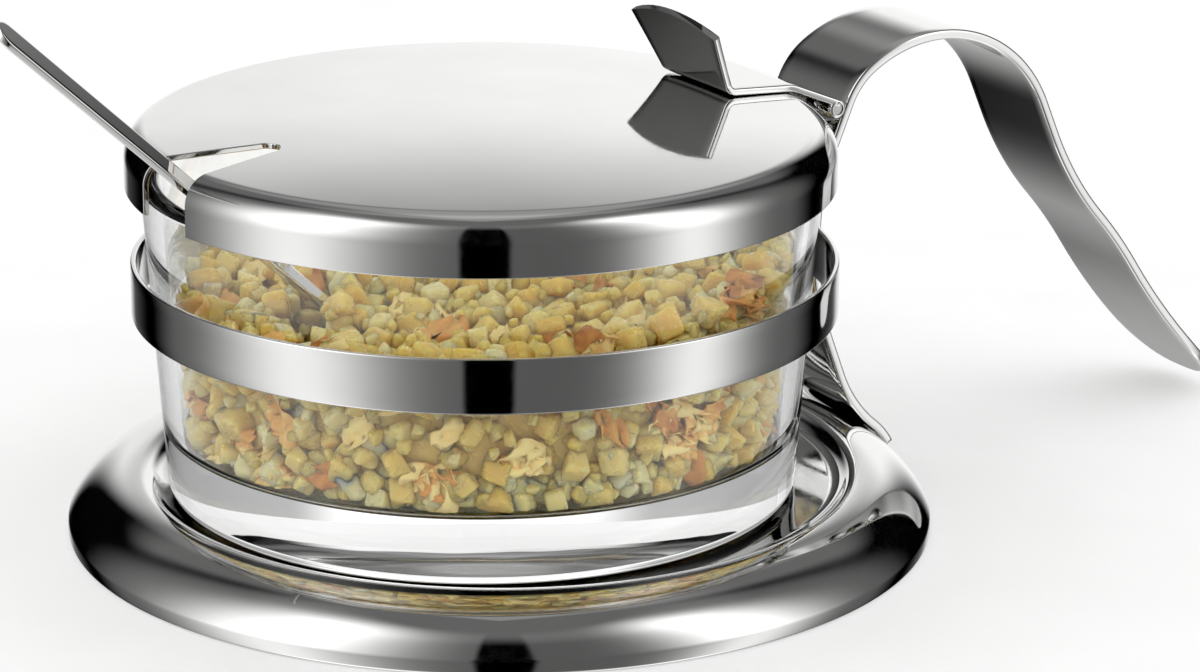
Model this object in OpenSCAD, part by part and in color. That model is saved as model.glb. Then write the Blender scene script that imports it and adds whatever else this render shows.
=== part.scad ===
// Salt cellar: a glass jar on a drawn steel saucer, held by a band on a bent
// handle strip that also carries the hinged lid, with a spoon through the lid.
// Millimetres. +Z is up, +X points along the handle, and the origin is on the
// table under the axis that the jar and the lid share.

/* [Saucer] */
// Outer diameter of the saucer
saucer_d = 120; // [108:1:140]
// Height of the rim's crest above the table
saucer_h = 8; // [7:0.1:10]
// Height of the edge that is turned straight down
saucer_edge_h = 1.5; // [0.8:0.1:2.5]
// Radius of the crest on its inner side
crest_in_r = 3; // [1.5:0.1:4]
// Width of the slope from the well up to the rim's crest
well_edge_w = 4.5; // [3.5:0.1:6]
// Depth of the well below the crest
well_depth = 1.8; // [1:0.1:2.4]
// Sheet thickness of the saucer
saucer_t = 0.8; // [0.5:0.05:1]
// How far the saucer is set from the jar's axis toward the handle
saucer_shift = 2.9; // [0:0.1:4]

/* [Glass jar] */
// Outer diameter where the jar stands
jar_base_d = 86.4; // [77:0.2:95]
// Outer diameter at the rim
jar_rim_d = 92.6; // [83:0.2:104]
// Height of the jar
jar_h = 44.8; // [40:0.2:50]
// Wall thickness of the jar
jar_wall = 2.6; // [1.6:0.1:2.7]
// Thickness of the jar's heavy bottom
jar_floor_t = 8.8; // [4:0.2:12]
// Radius across the top of the jar's rim
jar_rim_r = 1.5; // [1.4:0.1:2.4]
// Radius round the jar's bottom edge
jar_foot_r = 1.8; // [0.8:0.1:3]
// Radius where the jar's wall meets its floor inside
jar_inner_r = 4; // [1:0.2:8]

/* [Salt] */
// Height of the salt above the jar's floor, on the axis
salt_h = 22.5; // [18:0.5:25]
// Slope of the heap, rising toward the handle
salt_slope = 8; // [0:0.5:10]
// Edge length of the coarsest crystals
grain_d = 4.6; // [4:0.2:6]
// How far those crystals stand out of the heap
grain_out = 1.7; // [0.8:0.1:2]
// Distance from one of those crystals to the next
grain_pitch = 6.5; // [6:0.5:12]
// Room between the salt and the glass
salt_clear = 0.3; // [0.2:0.05:0.6]

/* [Retaining band] */
// Height of the band
band_h = 7.4; // [4:0.1:12]
// Sheet thickness of the band
band_t = 0.8; // [0.5:0.05:1]
// How far the band is set over toward the strip behind it
band_shift = 0.6; // [0:0.1:1]
// Height of the band's middle above the jar's foot
band_lift = 28.8; // [24:0.2:32]

/* [Lid] */
// How far the skirt hangs below the jar's rim
lid_drop = 1.6; // [0.6:0.1:2.4]
// Height of the skirt's straight part
lid_skirt_h = 3.9; // [3:0.1:5]
// Outer radius of the rounded shoulder
lid_shoulder_r = 4; // [2.5:0.1:5]
// Rise of the crown above the shoulder
lid_crown_h = 1.5; // [0.8:0.1:3]
// Sheet thickness of the lid
lid_t = 0.8; // [0.5:0.05:1]
// Length of the spoon notch in from the skirt
notch_l = 17.3; // [14:0.1:24]
// Width of the notch at its closed end
notch_end_w = 4.4; // [3:0.1:6]
// Width of the notch at the skirt
notch_mouth_w = 12; // [11:0.2:18]

/* [Hinge] */
// Height of the hinge pin above the top of the lid's skirt
hinge_lift = 0.8; // [0.2:0.1:1.4]
// Distance from the lid's skirt out to the hinge pin
pin_reach = 3.9; // [3.5:0.1:6]
// Diameter of the hinge pin
pin_d = 1.6; // [1.2:0.1:1.8]
// Outer diameter of the knuckles
knuckle_d = 2.6; // [2.4:0.1:3]
// Length of the whole barrel
barrel_w = 19; // [17:0.5:24]
// Length of the middle knuckle
mid_knuckle_w = 6.8; // [4:0.2:9]
// Length of the middle knuckle's plate down the strip
bracket_l = 6; // [4:0.5:8]
// Sheet thickness of that plate
bracket_t = 0.8; // [0.5:0.05:1]

/* [Lid leaf and thumb tab] */
// Sheet thickness of the leaf
leaf_t = 1; // [0.6:0.05:1.2]
// Distance from the lid's skirt in to the bend of the thumb tab
tab_inset = 12.8; // [10:0.1:18]
// Width of the leaf at that bend
leaf_w = 17; // [15:0.5:19]
// Width of the thumb tab across its ears
tab_w = 21.5; // [19:0.5:26]
// Height of the thumb tab along its slope
tab_h = 10.5; // [8:0.5:13]
// Lean of the thumb tab toward the lid's middle, from upright
tab_lean = 25; // [0:1:40]
// Radius of the tab's domed top edge
tab_arc_r = 30; // [20:1:60]
// Inside radius of the tab's bend
tab_bend_r = 1; // [0.6:0.1:2]

/* [Handle strip] */
// Width of the strip
strip_w = 17.5; // [15:0.5:20]
// Thickness of the strip
strip_t = 1.4; // [1:0.1:2]
// Straight length behind the band, where the two are welded
weld_flat = 2; // [1:0.5:4]
// Straight length from the bend above the band to the hinge pin
seat_run = 5.8; // [4:0.1:8]
// Radius of the tight start of the arch
arch_in_r = 11; // [8:0.5:16]
// Lean of the strip from upright where that tight start ends
arch_lean = 57; // [40:1:70]
// Radius of the arch itself
arch_r = 21.5; // [17:0.5:26]
// Angle that the arch turns through
arch_a = 99; // [90:1:105]
// Straight length after the arch
arch_run = 5.5; // [2:0.5:10]
// Radius of the reverse bend below the arch
grip_bend_r = 20; // [12:0.5:40]
// Angle of that reverse bend
grip_bend_a = 14; // [8:0.5:22]
// Straight length of the grip
grip_run = 39.5; // [30:0.5:46]
// Radius of the bend before the flicked end
flick_r = 20; // [10:0.5:30]
// Angle of the flicked end
flick_a = 10; // [5:0.5:25]
// Straight length of the flicked end
flick_run = 9; // [7.5:0.5:11]
// Radius of the handle's rounded end
tip_r = 13; // [11:0.5:16]
// Straight length between the bends below the band
fall_run = 5.6; // [3:0.1:9]
// Part of the roll's width at which the strip's foot first touches it
foot_from = 0.7; // [0.5:0.05:0.8]
// Part of the roll's width at which the foot ends
foot_to = 0.95; // [0.85:0.05:0.95]

/* [Spoon] */
// Length of the spoon from bowl to handle end
spoon_l = 89; // [84:0.5:96]
// Diameter of the round bowl's rim
bowl_d = 16; // [12:0.5:18]
// Depth of the bowl
bowl_depth = 4; // [2.5:0.1:5]
// Sheet thickness of the bowl
bowl_t = 0.8; // [0.5:0.05:1]
// Thickness of the stem
stem_t = 1; // [0.8:0.05:1.4]
// Width of the stem at the bowl
neck_w = 3; // [2.4:0.1:4]
// Width of the stem at its end
stem_end_w = 4.6; // [3.5:0.1:6]
// Slope of the stem from level
spoon_slope = 43; // [42:0.5:45]
// Roll of the spoon about its stem
spoon_roll = -28; // [-32:1:32]
// How far the spoon lies to one side of the jar's middle
spoon_y = 2.4; // [-2.4:0.1:2.4]
// Height of the bowl's middle above the jar's floor
bowl_lift = 8.2; // [8:0.1:9]
// Room round the spoon in the salt
scoop_clear = 0.5; // [0.4:0.1:1]

/* [Fits] */
// Room round the jar's foot in the well
well_room = 2.3; // [1:0.1:4]
// Room between the jar and the band
band_gap = 2.3; // [1:0.1:4]
// Room between the jar's rim and the lid's skirt
rim_gap = 1.2; // [0.8:0.1:2]
// Room between the middle of the spoon's stem and the jar's rim inside
stem_room = 4; // [3:0.1:6]
// Radial running clearance of the hinge pin
pin_clear = 0.05; // [0.02:0.01:0.1]
// End gap between neighbouring knuckles
knuckle_gap = 0.2; // [0.1:0.05:0.4]
// Room between the barrel and the strip
barrel_clear = 0.3; // [0.2:0.05:0.6]
// Gap left by a spot weld between two sheets
weld_gap = 0.05; // [0.02:0.01:0.1]

/* [Hidden] */
$fn = 96;
eps = 0.01;
facet_a = 2.5;
lap = 0.2;
far = 300;

// Saucer: the crest, and the small radius that fairs the rim into the well
well_d = jar_base_d + 2 * well_room;
crest_r = well_d / 2 + well_edge_w;
roll_w = saucer_d / 2 - crest_r;
roll_h = saucer_h - saucer_edge_h;
roll_r = (pow(roll_w, 2) + pow(roll_h, 2)) / (2 * roll_h);
roll_z = saucer_h - roll_r;
well_z = saucer_h - well_depth;
fair_a = 2 * atan(well_depth / well_edge_w);
fair_r = well_edge_w / sin(fair_a) - crest_in_r;

// Jar: the places of its floor, its rim and its wall's slope
jar_z = well_z;
jar_top = jar_z + jar_h;
jar_floor_z = jar_z + jar_floor_t;
jar_slope = atan((jar_rim_d - jar_base_d) / 2 / jar_h);
function jar_r(z) = jar_base_d / 2 + (z - jar_z) * tan(jar_slope);
wall_x = jar_wall / cos(jar_slope);

// Band: round the jar, and set over until it meets the strip's inner face
band_z = jar_z + band_lift;
band_d = 2 * (jar_r(band_z) + band_gap + band_t);
strip_x = band_d / 2 + band_shift + weld_gap;

// Salt: its foot, the height of its top, and how far a crystal's corner reaches
salt_z = jar_floor_z + salt_clear;
grain_reach = grain_d * sqrt(3) / 2;
grain_rows = floor((salt_h - jar_inner_r) / (grain_pitch * sin(60))) + 1;
function salt_top(x) = jar_floor_z + salt_h + x * tan(salt_slope);

// Lid: over the jar's rim, with a crown whose radius is tangent to the shoulder
lid_r = jar_rim_d / 2 + rim_gap + lid_t;
lid_edge_z = jar_top - lid_drop;
shoulder_x = lid_r - lid_shoulder_r;
shoulder_z = lid_edge_z + lid_skirt_h;
lid_top = shoulder_z + lid_shoulder_r + lid_crown_h;
crown_r = (pow(shoulder_x, 2) + pow(lid_top - shoulder_z, 2) - pow(lid_shoulder_r, 2))
          / (2 * lid_crown_h);
crown_a = asin(shoulder_x / (crown_r - lid_shoulder_r));
function crown_z(r) = lid_top - crown_r + sqrt(pow(crown_r, 2) - pow(r, 2));

// Hinge: the pin stands off the lid's skirt, and the strip bends above the band
// so that its straight seat passes the barrel with room to spare
pin_x = lid_r + pin_reach;
hinge_z = shoulder_z + hinge_lift;
pin_off = knuckle_d / 2 + barrel_clear;
rise_x = pin_x - strip_x;
rise_z = hinge_z - band_z - weld_flat / 2;
lean = 2 * atan((rise_x + pin_off) / (rise_z + seat_run));
rise_r = (rise_z - (rise_x * cos(lean) + pin_off) / sin(lean)) / tan(lean / 2);
bore_r = pin_d / 2 + pin_clear;
mid_y = mid_knuckle_w / 2 + knuckle_gap;

// Leaf: its top face is tangent to the shoulder's bend and to the barrel
wrap_r = lid_shoulder_r + weld_gap + leaf_t;
pin_dist = norm([pin_x - shoulder_x, hinge_z - shoulder_z]);
leaf_a = asin((wrap_r - knuckle_d / 2) / pin_dist)
         - atan2(hinge_z - shoulder_z, pin_x - shoulder_x);
leaf_run = sqrt(pow(pin_dist, 2) - pow(wrap_r - knuckle_d / 2, 2));
deck_l = (tab_inset - lid_shoulder_r) / cos(crown_a);

// Tab: the turn of its bend, and the foot of its outer face
tab_turn = 90 - tab_lean - crown_a;
deck_top = [shoulder_x, shoulder_z] + wrap_r * [sin(crown_a), cos(crown_a)]
           + deck_l * [-cos(crown_a), sin(crown_a)];
bend_mid = deck_top + tab_bend_r * [sin(crown_a), cos(crown_a)];
tab_foot = bend_mid - tab_bend_r * [cos(tab_lean), sin(tab_lean)]
           - leaf_t * [cos(tab_lean), sin(tab_lean)];

// Spoon: the ball that the bowl is a cap of, and the bowl's place when the stem
// passes over the jar's rim
ball_r = (pow(bowl_d / 2, 2) + pow(bowl_depth, 2)) / (2 * bowl_depth);
bowl_z = jar_floor_z + bowl_lift;
slot_r = ball_r + bowl_t + scoop_clear;
function in_slot(x, y) = x < bowl_x + slot_r + grain_reach && abs(y - spoon_y) < slot_r + grain_reach;
bowl_x = (jar_top - bowl_z) / tan(spoon_slope) - (jar_rim_d / 2 - wall_x - stem_room);

// Strip: the fall from the band lies along the line to where its foot touches
// the rim's roll, with a bend above it and a bend below
foot_r = roll_r + weld_gap;
foot_a = acos(foot_from * roll_w / roll_r);
foot_end_a = acos(foot_to * roll_w / roll_r);
roll_at = [saucer_shift + crest_r, roll_z];
fall_x = roll_at[0] + foot_r * cos(foot_a) - strip_x;
fall_z = band_z - weld_flat / 2 - roll_at[1] - foot_r * sin(foot_a);
fall_a = atan2(fall_x, fall_z);
fall_span = (norm([fall_x, fall_z]) - fall_run) / (2 * sin(foot_a / 2));
fall_r = fall_span * sin((foot_a - fall_a) / 2) / sin(fall_a / 2);
foot_turn_r = fall_span * sin(fall_a / 2) / sin((foot_a - fall_a) / 2);

// Strip: its whole path along the face toward the jar, and where it ends
foot_end = roll_at + foot_r * [cos(foot_end_a), sin(foot_end_a)];
strip_path = [[foot_r, foot_a - foot_end_a], [foot_turn_r, fall_a - foot_a], [fall_run, 0],
              [fall_r, -fall_a], [weld_flat, 0], [rise_r, -lean], [seat_run + knuckle_d / 2, 0],
              [arch_in_r, lean - arch_lean], [arch_r, -arch_a], [arch_run, 0],
              [grip_bend_r, grip_bend_a], [grip_run, 0], [flick_r, flick_a], [flick_run, 0]];
strip_ends = stations(strip_path, foot_end, 90 + foot_end_a);
tip_x = strip_ends[len(strip_ends) - 1][0][0] - strip_t;

// A point a straight run or a bend further on from p, by heading
function along(p, l, h) = p + l * [cos(h), sin(h)];
function ahead(p, r, h0, h1) =
    p + r * (h1 > h0 ? 1 : -1) * [sin(h1) - sin(h0), cos(h0) - cos(h1)];

// Stations [point, heading] along a path in the X-Z plane, whose pieces are
// either [length, 0] for a straight run or [radius, angle] for a bend; a
// positive angle turns left
function stations(path, p, h, k = 0) =
    k == len(path) ? [[p, h]] :
    path[k][1] == 0 ? concat([[p, h]], stations(path, along(p, path[k][0], h), h, k + 1)) :
    let (r = path[k][0], a = path[k][1], n = ceil(abs(a) / facet_a))
    concat([for (j = [0:n - 1]) [ahead(p, r, h, h + a * j / n), h + a * j / n]],
           stations(path, ahead(p, r, h, h + a), h + a, k + 1));

// Section of a sheet that follows a path with one face, its thickness t laid
// off to the right of the heading
module bent_sheet(path, p, h, t) {
    marks = stations(path, p, h);
    last = len(marks) - 1;
    polygon(concat([for (m = marks) m[0]],
                   [for (k = [last:-1:0]) marks[k][0] + t * [sin(marks[k][1]), -cos(marks[k][1])]]));
}

// Turns a drawing in the X-Z plane into a strip of width w across Y
module across(w) {
    rotate([90, 0, 0]) linear_extrude(w, center = true) children();
}

// A tapered cup filled to its rim, with a rounded bottom edge, as a half section
module cup_fill(r0, slope, z0, z1, edge_r) {
    edge_x = r0 + edge_r * tan(slope) - edge_r / cos(slope);
    polygon([[0, z0], [edge_x, z0],
             [edge_x + edge_r * cos(slope), z0 + edge_r - edge_r * sin(slope)],
             [r0 + (z1 - z0) * tan(slope), z1], [0, z1]]);
    translate([edge_x, z0 + edge_r]) intersection() {
        circle(edge_r);
        translate([0, -edge_r]) square(edge_r);
    }
}

// Half section of all that lies under the saucer's top face, d below it
module saucer_fill(d) {
    split_x = well_d / 2 + (fair_r + d) * sin(fair_a);
    square([well_d / 2, well_z - d]);
    difference() {
        translate([well_d / 2, 0]) square([split_x - well_d / 2, saucer_h]);
        translate([well_d / 2, well_z + fair_r]) circle(fair_r + d);
    }
    translate([split_x - lap, 0]) square([crest_r - split_x + 2 * lap, saucer_h - crest_in_r]);
    intersection() {
        translate([crest_r, saucer_h - crest_in_r]) circle(crest_in_r - d);
        translate([split_x - lap, saucer_h - crest_in_r - lap])
            square([crest_r - split_x + 2 * lap, crest_in_r + lap]);
    }
    intersection() {
        translate([crest_r, roll_z]) circle(roll_r - d);
        translate([crest_r, 0]) square([roll_w - d, saucer_h]);
    }
}

// Drawn saucer, hollow underneath, standing on its turned-down edge
module base_saucer() {
    color("silver") translate([saucer_shift, 0, 0]) rotate_extrude() difference() {
        saucer_fill(0);
        translate([0, -eps]) saucer_fill(saucer_t);
    }
}

// Pressed glass jar with a heavy bottom and a rounded rim
module glass_jar() {
    color([0.85, 0.92, 0.9, 0.4]) rotate_extrude() difference() {
        cup_fill(jar_base_d / 2, jar_slope, jar_z, jar_top, jar_foot_r);
        cup_fill(jar_r(jar_floor_z) - wall_x, jar_slope, jar_floor_z, far, jar_inner_r);
        translate([jar_rim_d / 2 - wall_x / 2, jar_top - jar_rim_r]) difference() {
            translate([-2 * jar_wall, 0]) square([4 * jar_wall, 2 * jar_rim_r]);
            circle(jar_rim_r);
        }
    }
}

// Heap of coarse salt with its crystals, and the slot that the spoon slides in
module salt_fill() {
    color("khaki") difference() {
        union() {
            salt_heap();
            wall_crystals();
            top_crystals();
        }
        spoon_slot();
    }
}

// The heap's smooth body, drawn in by as much as the crystals stand out
module salt_heap() {
    difference() {
        rotate_extrude() cup_fill(jar_r(salt_z) - wall_x - salt_clear - grain_out, jar_slope,
                                  salt_z, jar_top, jar_inner_r);
        translate([0, 0, salt_top(0) - grain_out]) rotate([0, -salt_slope, 0])
            translate([-far / 2, -far / 2, 0]) cube(far);
    }
}

// Rows of crystals that lie against the glass, below the heap's top
module wall_crystals() {
    for (row = [0:grain_rows - 1]) {
        z = salt_z + jar_inner_r + row * grain_pitch * sin(60);
        r = jar_r(z) - wall_x - salt_clear - grain_reach;
        n = floor(360 / (2 * asin(grain_pitch / 2 / r)));
        for (k = [0:n - 1]) {
            a = 360 * (k + row / 2) / n;
            if (z + grain_reach < salt_top(r * cos(a)) && !in_slot(r * cos(a), r * sin(a)))
                rotate([0, 0, a]) translate([r, 0, z]) crystal(k + 5 * row);
        }
    }
}

// Rows of crystals on the heap's sloping top
module top_crystals() {
    half = floor(jar_rim_d / 2 / grain_pitch) + 1;
    room = jar_r(salt_top(0)) - wall_x - salt_clear - grain_reach;
    for (i = [-half:half], j = [-half:half]) {
        x = (i + abs(j % 2) / 2) * grain_pitch;
        y = j * grain_pitch * sin(60);
        if (norm([x, y]) < room && !in_slot(x, y))
            translate([x, y, salt_top(x) - grain_reach]) rotate([0, -90, 0]) crystal(3 * i + 7 * j);
    }
}

// One crystal with a corner toward +X, each turned its own way about that corner
module crystal(k) {
    rotate([37 * k, 0, 0]) rotate([0, atan(sqrt(0.5)), 0]) rotate([0, 0, -45])
        cube(grain_d, center = true);
}

// The slot that the spoon's bowl slides in
module spoon_slot() {
    place_spoon() intersection() {
        translate([0, 0, ball_r - bowl_depth]) {
            sphere(slot_r);
            rotate([0, 90, 0]) cylinder(h = spoon_l, r = slot_r);
        }
        translate([-far / 2, -far / 2, scoop_clear - far]) cube(far);
    }
}

// Flat band round the jar, spot-welded to the strip behind it
module jar_band() {
    color("gainsboro") translate([band_shift, 0, band_z - band_h / 2]) difference() {
        cylinder(h = band_h, d = band_d);
        translate([0, 0, -eps]) cylinder(h = band_h + 2 * eps, d = band_d - 2 * band_t);
    }
}

// One bent strip: foot on the rim, upright behind the band, arch and grip
module handle_strip() {
    color("darkgray") difference() {
        across(strip_w) bent_sheet(strip_path, foot_end, 90 + foot_end_a, strip_t);
        translate([tip_x - tip_r, 0, -far / 2]) difference() {
            translate([0, -strip_w, 0]) cube([2 * strip_w, 2 * strip_w, far]);
            cylinder(h = far, r = tip_r);
        }
    }
}

// Middle knuckle with its plate, welded down the strip's inner face
module hinge_bracket() {
    color("slategray") translate([pin_x, 0, hinge_z]) difference() {
        union() {
            rotate([90, 0, 0]) cylinder(h = mid_knuckle_w, d = knuckle_d, center = true);
            rotate([0, lean, 0]) translate([pin_off - weld_gap - bracket_t, -mid_knuckle_w / 2, -bracket_l])
                cube([bracket_t, mid_knuckle_w, bracket_l]);
        }
        rotate([90, 0, 0]) cylinder(h = far, r = bore_r, center = true);
    }
}

// Plain pin through the three knuckles
module hinge_pin() {
    color("dimgray") translate([pin_x, 0, hinge_z]) rotate([90, 0, 0])
        cylinder(h = barrel_w - 2 * knuckle_gap, d = pin_d, center = true);
}

// Half section of all that lies under the lid's outer face, d below it
module lid_fill(d) {
    split_x = shoulder_x + (lid_shoulder_r - d) * sin(crown_a);
    translate([0, lid_edge_z]) square([lid_r - d, lid_skirt_h]);
    intersection() {
        translate([0, lid_top - crown_r]) circle(crown_r - d, $fn = 720);
        translate([0, shoulder_z - lap]) square([split_x, far]);
    }
    intersection() {
        translate([shoulder_x, shoulder_z]) circle(lid_shoulder_r - d);
        translate([split_x - lap, shoulder_z - lap]) square(far);
    }
}

// Drawn lid with a spoon notch cut through its skirt and crown
module lid_shell() {
    color("whitesmoke") difference() {
        rotate_extrude() difference() {
            lid_fill(0);
            translate([0, -eps]) lid_fill(lid_t);
        }
        translate([0, 0, lid_edge_z - 1]) linear_extrude(far) spoon_notch();
    }
}

// Plan of the notch: a round end and straight sides that open toward the skirt
module spoon_notch() {
    end_r = notch_end_w / 2;
    end_x = notch_l - lid_r - end_r;
    spread = atan((notch_mouth_w / 2 - end_r) / (lid_r + end_x));
    out = (lid_r - end_r) / cos(spread);
    translate([end_x, 0]) {
        circle(end_r);
        for (side = [-1, 1]) polygon([[0, 0], [end_r * sin(spread), side * end_r * cos(spread)],
                                      [end_r * sin(spread) - out * cos(spread),
                                       side * (end_r * cos(spread) + out * sin(spread))],
                                      [end_r * sin(spread) - out * cos(spread), 0]]);
    }
}

// Leaf welded on the crown: two knuckles, a flat deck and the thumb tab
module lid_leaf() {
    color("lightgray") difference() {
        union() {
            for (side = [-1, 1]) translate([pin_x, side * (barrel_w / 2 + mid_y) / 2, hinge_z])
                rotate([90, 0, 0])
                    cylinder(h = barrel_w / 2 - mid_y, d = knuckle_d, center = true);
            intersection() {
                across(barrel_w) leaf_section();
                translate([0, 0, lid_edge_z]) linear_extrude(far) leaf_plan();
            }
            translate([tab_foot[0], 0, tab_foot[1]]) rotate([0, -tab_lean, 0])
                rotate([90, 0, 90]) linear_extrude(leaf_t) tab_outline();
        }
        translate([pin_x, 0, hinge_z]) rotate([90, 0, 0]) {
            cylinder(h = far, r = bore_r, center = true);
            cylinder(h = 2 * mid_y, r = knuckle_d / 2 + barrel_clear, center = true);
        }
    }
}

// Leaf's section: from the barrel up over the shoulder, along the crown, then
// the bend that turns up into the tab
module leaf_section() {
    bent_sheet([[leaf_run, 0], [wrap_r, leaf_a - crown_a], [deck_l, 0], [tab_bend_r, -tab_turn],
                [leaf_t, 0]],
               [pin_x, hinge_z] + knuckle_d / 2 * [sin(leaf_a), cos(leaf_a)], 180 - leaf_a, -leaf_t);
}

// Plan of the leaf, wider at the barrel than at the tab
module leaf_plan() {
    polygon([[tab_foot[0] - leaf_t, -leaf_w / 2], [shoulder_x, -leaf_w / 2], [pin_x, -barrel_w / 2],
             [pin_x + knuckle_d, -barrel_w / 2], [pin_x + knuckle_d, barrel_w / 2],
             [pin_x, barrel_w / 2], [shoulder_x, leaf_w / 2], [tab_foot[0] - leaf_t, leaf_w / 2]]);
}

// Outline of the tab: straight sides spread to the ears, then a domed top
module tab_outline() {
    intersection() {
        polygon([[-leaf_w / 2, 0], [leaf_w / 2, 0], [tab_w / 2, tab_h], [-tab_w / 2, tab_h]]);
        translate([0, tab_h - tab_arc_r]) circle(tab_arc_r);
    }
}

// Carries a shape from the spoon's own frame, where +X runs up the stem from
// the middle of the bowl's rim, to its place in the jar
module place_spoon() {
    translate([bowl_x, spoon_y, bowl_z]) rotate([0, -spoon_slope, 180])
        rotate([spoon_roll, 0, 0]) children();
}

// Small spoon with a round bowl and a flat stem that widens to its end
module spoon() {
    stem_end = spoon_l - bowl_d / 2 - stem_end_w / 2;
    color("lightsteelblue") place_spoon() {
        rotate_extrude() intersection() {
            difference() {
                translate([0, ball_r - bowl_depth]) circle(ball_r + bowl_t);
                translate([0, ball_r - bowl_depth]) circle(ball_r);
            }
            translate([0, -far]) square([far, far]);
        }
        difference() {
            translate([0, 0, -stem_t]) linear_extrude(stem_t) {
                polygon([[0, -neck_w / 2], [stem_end, -stem_end_w / 2], [stem_end, stem_end_w / 2],
                         [0, neck_w / 2]]);
                translate([stem_end, 0]) circle(d = stem_end_w);
            }
            translate([0, 0, ball_r - bowl_depth]) sphere(ball_r + eps);
        }
    }
}

base_saucer();
glass_jar();
salt_fill();
jar_band();
handle_strip();
hinge_bracket();
hinge_pin();
lid_shell();
lid_leaf();
spoon();
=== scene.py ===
import math
import random

import bmesh
import bpy
from mathutils import Euler, Matrix, Vector


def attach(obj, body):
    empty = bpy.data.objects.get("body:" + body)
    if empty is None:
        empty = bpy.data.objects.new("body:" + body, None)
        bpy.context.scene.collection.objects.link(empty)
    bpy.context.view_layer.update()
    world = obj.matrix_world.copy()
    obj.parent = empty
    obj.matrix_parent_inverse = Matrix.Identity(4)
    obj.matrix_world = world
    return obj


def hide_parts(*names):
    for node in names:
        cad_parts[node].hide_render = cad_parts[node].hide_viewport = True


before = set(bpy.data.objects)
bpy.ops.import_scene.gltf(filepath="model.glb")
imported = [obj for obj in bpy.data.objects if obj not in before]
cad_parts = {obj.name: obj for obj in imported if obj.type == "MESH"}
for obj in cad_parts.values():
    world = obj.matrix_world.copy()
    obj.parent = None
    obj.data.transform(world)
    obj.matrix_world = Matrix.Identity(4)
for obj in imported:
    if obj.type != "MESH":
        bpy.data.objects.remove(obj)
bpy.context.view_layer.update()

# Saucer
# One disc of polished stainless sheet, drawn down into a shallow well for the jar, with a broad
# rolled rim. Its edge is turned straight down and is the ring that stands on the table.
mm = 0.001
saucer_t = 0.8
saucer_shift = 2.9
well_r = 45.5
well_z = 6.2
well_edge_turn = 43.6
well_edge_r = 3.52
crest_in_r = 3.0
roll_r = 10.94
roll_turn = 62.0
edge_bend_r = 1.2


def follow(start, heading, moves, bend_step=2.0, run_step=1.5):
    """Marks (point, heading) along a drawn line. A move is (length, 0) for a straight run or
    (radius, angle) for a bend, which turns left where the angle is positive."""
    x, z = start
    marks = [((x, z), heading)]
    for size, angle in moves:
        parts = max(1, math.ceil(abs(angle) / bend_step if angle else size / run_step))
        turn = angle / parts
        step = 2 * size * math.sin(math.radians(abs(turn)) / 2) if angle else size / parts
        for _ in range(parts):
            x += step * math.cos(math.radians(heading + turn / 2))
            z += step * math.sin(math.radians(heading + turn / 2))
            heading += turn
            marks.append(((x, z), heading))
    return marks


def to_the_right(mark, distance):
    """The point that lies the distance to the right of a mark."""
    (x, z), heading = mark
    turned_by = math.radians(heading)
    return x + distance * math.sin(turned_by), z - distance * math.cos(turned_by)


def sheet_section(marks, thick):
    """Closed outline of a sheet under a drawn line, with its far edge rounded over."""
    outline = [point for point, heading in marks]
    middle = to_the_right(marks[-1], thick / 2)
    for k in range(1, 6):
        around = math.radians(marks[-1][1] + 90 - 30 * k)
        outline.append((middle[0] + thick / 2 * math.cos(around), middle[1] + thick / 2 * math.sin(around)))
    outline += [to_the_right(mark, thick) for mark in reversed(marks)]
    return outline


def round_point(radius, around, height):
    """The place, in metres, at a radius and a height, turned round the upright line at zero."""
    return (radius * mm * math.cos(around), radius * mm * math.sin(around), height * mm)


def add_turned(mesh, outline, steps):
    """Turns a closed outline of (radius, height) points round the upright line at zero."""
    rings = []
    for radius, height in outline:
        if radius < 1e-6:
            rings.append([mesh.verts.new((0, 0, height * mm))])
            continue
        turns = [2 * math.pi * k / steps for k in range(steps)]
        rings.append([mesh.verts.new(round_point(radius, around, height)) for around in turns])
    for ring, after in zip(rings, rings[1:] + rings[:1]):
        for k in range(steps):
            j = (k + 1) % steps
            if len(ring) > 1 and len(after) > 1:
                mesh.faces.new((ring[k], ring[j], after[j], after[k]))
            elif len(ring) > 1:
                mesh.faces.new((ring[k], ring[j], after[0]))
            elif len(after) > 1:
                mesh.faces.new((ring[0], after[j], after[k]))


def finished_piece(name, mesh, finish):
    """Makes the piece's object from its mesh and gives it its finish."""
    bmesh.ops.recalc_face_normals(mesh, faces=mesh.faces[:])
    for face in mesh.faces:
        face.smooth = True
    data = bpy.data.meshes.new(name)
    mesh.to_mesh(data)
    mesh.free()
    data.materials.append(finish)
    piece = bpy.data.objects.new(name, data)
    bpy.context.scene.collection.objects.link(piece)
    return piece


def blank_finish(name):
    """A new material with its shader, and object coordinates for its textures."""
    finish = bpy.data.materials.new(name)
    finish.use_nodes = True
    nodes = finish.node_tree.nodes
    shader = nodes["Principled BSDF"]
    place = nodes.new("ShaderNodeTexCoord")
    return finish, nodes, finish.node_tree.links, shader, place


def add_noise(nodes, links, place, scale, detail, stretch=(1, 1, 1)):
    """A cloudy texture in object space, stretched along the axes; returns its value."""
    mapping = nodes.new("ShaderNodeMapping")
    mapping.inputs["Scale"].default_value = stretch
    cloud = nodes.new("ShaderNodeTexNoise")
    cloud.inputs["Scale"].default_value = scale
    cloud.inputs["Detail"].default_value = detail
    links.new(place.outputs["Object"], mapping.inputs["Vector"])
    links.new(mapping.outputs["Vector"], cloud.inputs["Vector"])
    return cloud.outputs["Fac"]


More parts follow.
